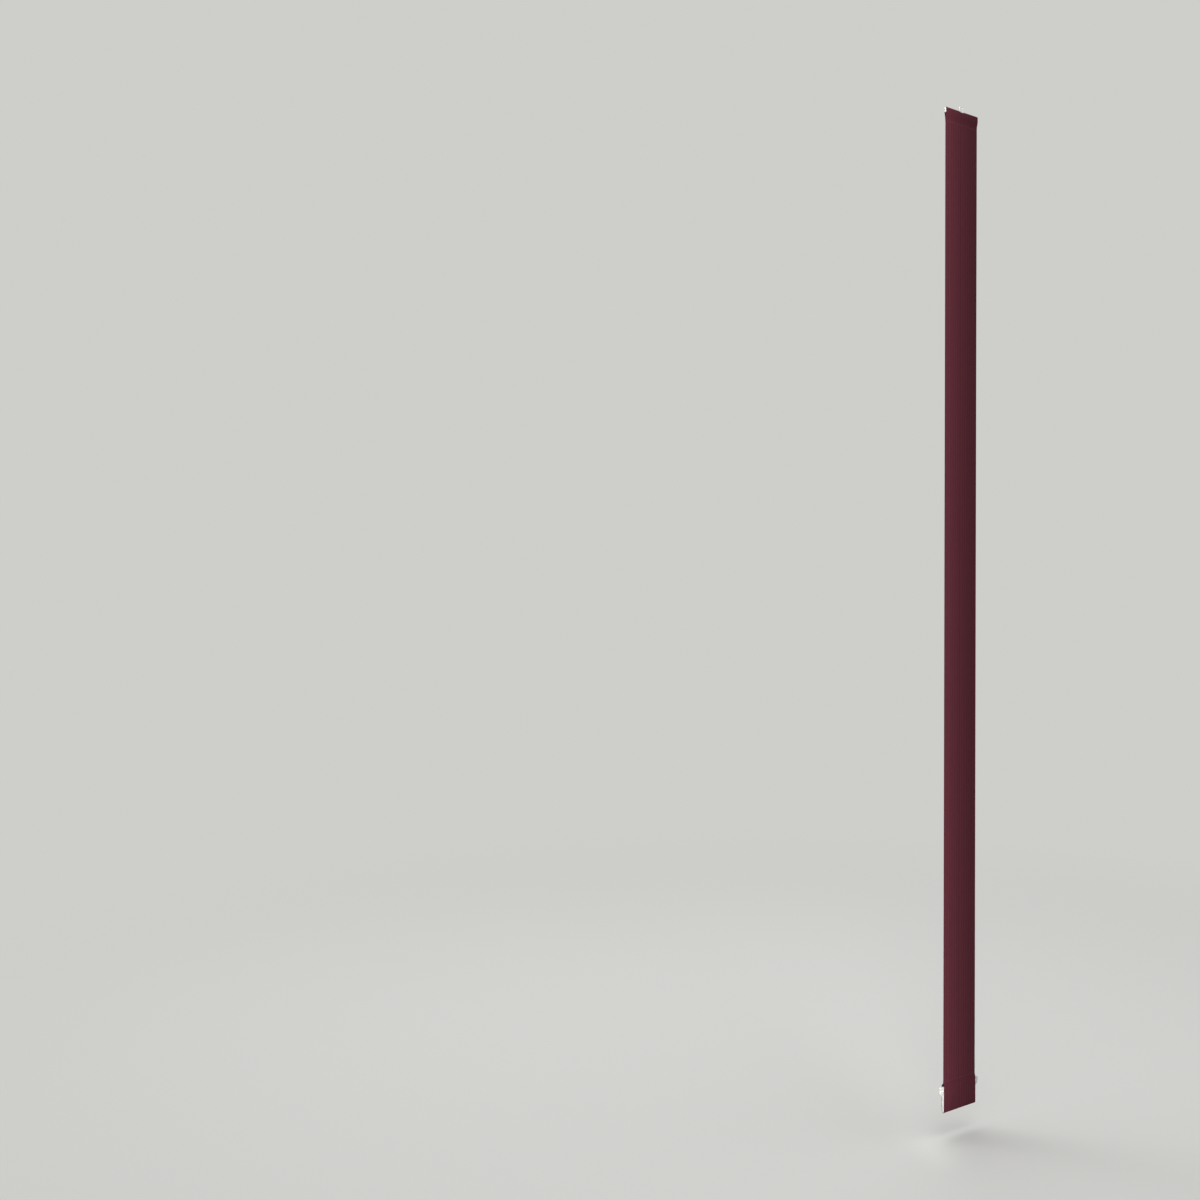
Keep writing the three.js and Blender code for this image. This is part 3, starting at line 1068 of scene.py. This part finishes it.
@dataclass
class ChainWeight:
    """The moulded tray in the bottom pocket, its two lugs and the steel plate that it holds."""

    case_name: str = "weight_moulding"
    plate_name: str = "steel_plate"
    proud: float = 0.5 * MM
    height: float = 49.0 * MM
    side_wall: float = 3.8 * MM
    top_wall: float = 3.0 * MM
    bottom_wall: float = 3.6 * MM
    floor: float = 0.8 * MM
    edge: float = 0.5 * MM
    top_round: float = 0.7 * MM
    corner: float = 2.0 * MM
    mouth: float = 0.25 * MM
    tab_length: float = 6.0 * MM
    tab_thickness: float = 0.7 * MM
    tab_grip: float = 1.4 * MM
    tab_edge: float = 0.15 * MM
    tab_corner: float = 0.3 * MM
    tab_root: float = 1.0 * MM  # how far a tab reaches into the tray's wall
    tabs_per_long_side: int = 2
    lug_thickness: float = 2.2 * MM
    lug_edge: float = 0.5 * MM
    lug_root_height: float = 19.0 * MM
    lug_outer_height: float = 13.0 * MM
    lug_corner: float = 2.4 * MM
    hole_width: float = 3.4 * MM
    hole_height: float = 5.0 * MM
    hole_drop: float = 6.5 * MM
    hole_edge: float = 0.3 * MM
    plate_edge: float = 0.15 * MM
    nose_steps: int = 16
    top_steps: int = 4
    lug_steps: int = 6
    hole_steps: int = 8
    tab_steps: int = 3

    def __post_init__(self) -> None:
        """Takes the places of the case, its lugs and the plate from the frame."""
        low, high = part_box("weight_case")
        self.front, self.back, self.middle = low.y, high.y, (low.y + high.y) / 2
        self.bottom, self.top = low.z, low.z + self.height
        self.lug_outer = high.x
        self.half_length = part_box("vane_fabric")[1].x + self.proud
        self.plate_low, self.plate_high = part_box("weight_plate")

    def build(self, plastic: MouldedPlastic, steel: ZincPlatedSheet) -> list[bpy.types.Object]:
        """Makes the case and the plate and dresses them.

        Args:
            plastic: the case's finish.
            steel: the plate's finish.

        Returns:
            The two pieces.
        """
        body = self._body()
        lugs = [self._lug(side) for side in (-1, 1)]
        case = combine(body, lugs, Cut.JOIN)
        case = combine(case, [self._tray(), *self._windows(), *self._holes()], Cut.REMOVE)
        case = combine(case, self._tabs(), Cut.JOIN)
        even_shading(case)
        hand_over(case, "weight_case", plastic.build())
        plate = prism(
            self.plate_name,
            rounded_box(
                (self.plate_low.x, self.plate_low.z), (self.plate_high.x, self.plate_high.z),
                self.corner,
            ),
            Drawn.FRONT, self.plate_low.y, self.plate_high.y, self.plate_edge,
        )
        even_shading(plate)
        hand_over(plate, "weight_plate", steel.build())
        return [case, plate]

    def _body(self) -> bpy.types.Object:
        """Returns the case's body, with a round nose below and rounded edges."""
        nose, shoulder = (self.back - self.front) / 2, self.top - self.top_round
        section = arc((self.middle, self.bottom + nose), nose, 180, 360, self.nose_steps)
        for y, start in ((self.back - self.top_round, 0), (self.front + self.top_round, 90)):
            section += arc((y, shoulder), self.top_round, start, start + 90, self.top_steps)
        return prism(self.case_name, section, Drawn.SECTION, -self.half_length, self.half_length,
                     self.edge)

    def _lug(self, side: int) -> bpy.types.Object:
        """Returns one lug.

        Args:
            side: 1 for the far edge and -1 for the near one.

        Returns:
            The solid, which starts inside the case.
        """
        root = self.half_length - self.edge - self.lug_edge
        fall = self.lug_root_height - self.lug_outer_height
        slope = math.degrees(math.atan2(fall, self.lug_outer - self.half_length))
        radius = self.lug_corner
        foot = (self.lug_outer - radius, self.top - self.lug_outer_height + radius)
        outline = [(root, self.top - self.lug_root_height)]
        outline += arc(foot, radius, slope - 90, 0, self.lug_steps)
        outline += arc((foot[0], self.top - radius), radius, 0, 90, self.lug_steps)
        outline += [(root, self.top)]
        depth = self.lug_thickness / 2
        lug = prism("lug", outline, Drawn.FRONT, self.middle - depth, self.middle + depth,
                    self.lug_edge)
        if side < 0:
            lug.data.transform(Matrix.Scale(-1, 4, (1, 0, 0)))
            lug.data.flip_normals()
        return lug

    def _holes(self) -> list[bpy.types.Object]:
        """Returns the cutters of the two slots for the chain's clips, with rounded mouths."""
        half_width, half_height = self.hole_width / 2, self.hole_height / 2
        height = self.top - self.hole_drop
        depth = self.lug_thickness / 2
        holes = []
        for side in (-1, 1):
            across = side * (self.half_length + self.lug_outer) / 2
            outline = rounded_box(
                (across - half_width, height - half_height),
                (across + half_width, height + half_height), half_width - HAIR / 10,
                self.hole_steps,
            )
            holes.append(prism("hole", outline, Drawn.FRONT, self.middle - depth,
                               self.middle + depth, -self.hole_edge))
        return holes

    def _tray(self) -> bpy.types.Object:
        """Returns the cutter of the tray that the plate lies in."""
        room = self.mouth
        outline = rounded_box(
            (-self.half_length + self.side_wall, self.bottom + self.bottom_wall),
            (self.half_length - self.side_wall, self.top - self.top_wall), self.corner,
        )
        loops = [
            placed(inset(outline, pull), Drawn.FRONT, depth) for depth, pull in (
                (self.front + self.floor, 0.0), (self.back - room, 0.0), (self.back, -room),
                (self.back + room, -room),
            )
        ]
        return loft("tray", loops)

    def _tab_places(self) -> list[tuple[float, float, int, int]]:
        """Returns each tab's point on the tray's wall and the way that it reaches over the plate."""
        tray_top = self.top - self.top_wall
        tray_bottom = self.bottom + self.bottom_wall
        tray_side = self.half_length - self.side_wall
        places = []
        for tab in range(self.tabs_per_long_side):
            across = 2 * tray_side * ((tab + 0.5) / self.tabs_per_long_side - 0.5)
            places += [(across, tray_top, 0, -1), (across, tray_bottom, 0, 1)]
        middle = (tray_top + tray_bottom) / 2
        return places + [(tray_side, middle, -1, 0), (-tray_side, middle, 1, 0)]

    def _tab_blocks(
        self, name: str, root: float, low: float, high: float, edge: float,
    ) -> list[bpy.types.Object]:
        """Makes a block at each tab's place.

        Args:
            name: the blocks' name.
            root: how far each one reaches into the tray's wall.
            low: its front.
            high: its back.
            edge: the radius of its edges.

        Returns:
            The blocks.
        """
        blocks = []
        for x, z, to_x, to_z in self._tab_places():
            half_x = 0 if to_x else self.tab_length / 2
            half_z = 0 if to_z else self.tab_length / 2
            xs = sorted((x - to_x * root, x + to_x * self.tab_grip))
            zs = sorted((z - to_z * root, z + to_z * self.tab_grip))
            outline = rounded_box(
                (xs[0] - half_x, zs[0] - half_z), (xs[1] + half_x, zs[1] + half_z),
                self.tab_corner, self.tab_steps,
            )
            blocks.append(prism(name, outline, Drawn.FRONT, low, high, edge))
        return blocks

    def _windows(self) -> list[bpy.types.Object]:
        """Returns the cutters of the windows in the floor, through which the tool forms the tabs."""
        beyond = 1 * MM
        return self._tab_blocks("window", HAIR, self.front - beyond,
                                self.front + self.floor + beyond / 2, 0)

    def _tabs(self) -> list[bpy.types.Object]:
        """Returns the tabs that hold the plate in."""
        return self._tab_blocks("tab", self.tab_root, self.back - self.tab_thickness,
                                self.back - HAIR, self.tab_edge)


@dataclass
class Studio:
    """A pale floor, soft light and the camera."""

    backdrop: str = "#CECECB"
    floor_tone: str = "#E8E8E5"
    floor_gap: float = 0.045
    floor_radius: float = 14.0
    fade_start: float = 0.5
    fade_end: float = 3.0
    ambient: float = 0.4
    lens: float = 35.0
    frame_pixels: float = 1200.0
    view_axis: float = 32.9  # degrees from +Y towards +X
    roll: float = -0.13  # degrees, clockwise as the camera sees it
    edge_distance: float = 2.2016  # along the view, to the near edge of the cloth
    edge_column: float = 944.35  # of the near edge, in the square frame
    horizon: float = 0.9326  # below the cloth's top edge

    def build(self) -> None:
        """Makes the whole studio."""
        bpy.context.scene.view_settings.view_transform = "Standard"
        self._floor()
        self._world()
        self._camera()
        self._light("strip", (-0.2, -0.16, -0.92), (-0.08, 0.0, -0.92), (0.05, 2.0), 0.72, 46.0)
        self._light("overhead", (0.3, 0.4, 2.6), (0.3, 0.4, -1.9), (4.0, 4.0), 110.0)
        self._light("back", (-1.4, 2.2, 0.2), (0.0, 0.0, -0.9), (1.4, 2.0), 9.0)

    def _camera(self) -> None:
        """Stands a level camera where the perspective of the vane's edges puts it."""
        edge = Vector((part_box("vane_fabric")[0].x, 0.0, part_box("vane_fabric")[1].z))
        turn = math.radians(self.view_axis)
        forward = Vector((math.sin(turn), math.cos(turn), 0.0))
        right = Vector((math.cos(turn), -math.sin(turn), 0.0))
        data = bpy.data.cameras.new("camera")
        data.lens = self.lens
        data.sensor_width = 36.0
        focal = self.lens / data.sensor_width * self.frame_pixels
        offset = (self.edge_column - self.frame_pixels / 2) / focal * self.edge_distance
        camera = bpy.data.objects.new("camera", data)
        camera.location = (
            edge - forward * self.edge_distance - right * offset - Vector((0, 0, self.horizon))
        )
        camera.rotation_euler = (math.pi / 2, math.radians(self.roll), -turn)
        bpy.context.scene.collection.objects.link(camera)
        bpy.context.scene.camera = camera

    def _light(
        self, name: str, place: Point3, target: Point3, size: Point, power: float,
        spread: float = 180.0,
    ) -> None:
        """Hangs one soft box.

        Args:
            name: the lamp's name.
            place: where it hangs.
            target: the point that it faces.
            size: its width and height.
            power: its power in watts.
            spread: the angle in degrees that its grid lets through.
        """
        data = bpy.data.lights.new(name, "AREA")
        data.shape = "RECTANGLE"
        data.size, data.size_y = size
        data.energy = power
        data.spread = math.radians(spread)
        lamp = bpy.data.objects.new(name, data)
        lamp.location = place
        lamp.rotation_euler = (Vector(target) - Vector(place)).to_track_quat("-Z", "Y").to_euler()
        lamp.visible_camera = False
        bpy.context.scene.collection.objects.link(lamp)

    def _seen(self, tree: bpy.types.NodeTree) -> Socket:
        """Returns 1 for rays that show the backdrop to the eye, straight or by gloss or glass."""
        rays = add_node(tree, "ShaderNodeLightPath").outputs
        total = rays["Is Camera Ray"]
        for kind in ("Is Glossy Ray", "Is Transmission Ray"):
            total = calculate(tree, "MAXIMUM", total, rays[kind])
        return total

    def _world(self) -> None:
        """Fills the room with even light, and shows a plain pale backdrop."""
        world = bpy.data.worlds.new("studio")
        world.use_nodes = True
        tree = world.node_tree
        tree.nodes.clear()
        light = add_node(tree, "ShaderNodeBackground", {"Strength": self.ambient})
        shown = add_node(tree, "ShaderNodeBackground", {"Color": linear(self.backdrop)})
        both = add_node(
            tree, "ShaderNodeMixShader",
            links={0: self._seen(tree), 1: light.outputs[0], 2: shown.outputs[0]},
        )
        add_node(tree, "ShaderNodeOutputWorld", links={"Surface": both.outputs[0]})
        bpy.context.scene.world = world

    def _floor(self) -> None:
        """Lays a round floor that fades into the backdrop."""
        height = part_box("vane_fabric")[0].z - self.floor_gap
        rim = arc((0, 0), self.floor_radius, 0, 360, 96)[:-1]
        floor = mesh_object("floor", placed(rim, Drawn.LEVEL, height), [list(range(len(rim)))])
        material, tree = new_material("matt_studio_paint")
        place = add_node(tree, "ShaderNodeTexCoord").outputs["Object"]
        flat = add_node(
            tree, "ShaderNodeVectorMath", {"operation": "MULTIPLY", 1: (1.0, 1.0, 0.0)}, {0: place},
        ).outputs[0]
        reach = add_node(tree, "ShaderNodeVectorMath", {"operation": "LENGTH"}, {0: flat})
        far = add_node(
            tree, "ShaderNodeMapRange",
            {"interpolation_type": "SMOOTHSTEP", "From Min": self.fade_start,
             "From Max": self.fade_end}, {"Value": reach.outputs["Value"]},
        ).outputs[0]
        share = calculate(tree, "MULTIPLY", far, self._seen(tree))
        paint = add_node(
            tree, "ShaderNodeBsdfPrincipled",
            {"Base Color": linear(self.floor_tone), "Roughness": 0.85},
        )
        shown = add_node(tree, "ShaderNodeEmission", {"Color": linear(self.backdrop)})
        finish_with(tree, add_node(
            tree, "ShaderNodeMixShader",
            links={0: share, 1: paint.outputs[0], 2: shown.outputs[0]},
        ))
        floor.data.materials.append(material)


def report(piece: bpy.types.Object) -> None:
    """Logs a piece's size and how many faces it has."""
    size = [f"{side / MM:.1f}" for side in piece.dimensions]
    log.info("%s: %s mm, %d faces", piece.name, " x ".join(size), len(piece.data.polygons))


def main() -> None:
    """Builds the vane and its studio."""
    logging.basicConfig(level=logging.INFO, format="%(message)s")
    Studio().build()

    hanger = TopHanger().build(POLYPROPYLENE)
    weight = ChainWeight().build(POLYSTYRENE, ZincPlatedSheet())
    strip = VaneCloth()
    cloth = strip.build(StiffenedPolyesterWeave())
    strip.flat_length()
    bpy.context.view_layer.update()
    for piece in (cloth, hanger, *weight):
        report(piece)


if __name__ == "__main__":
    main()
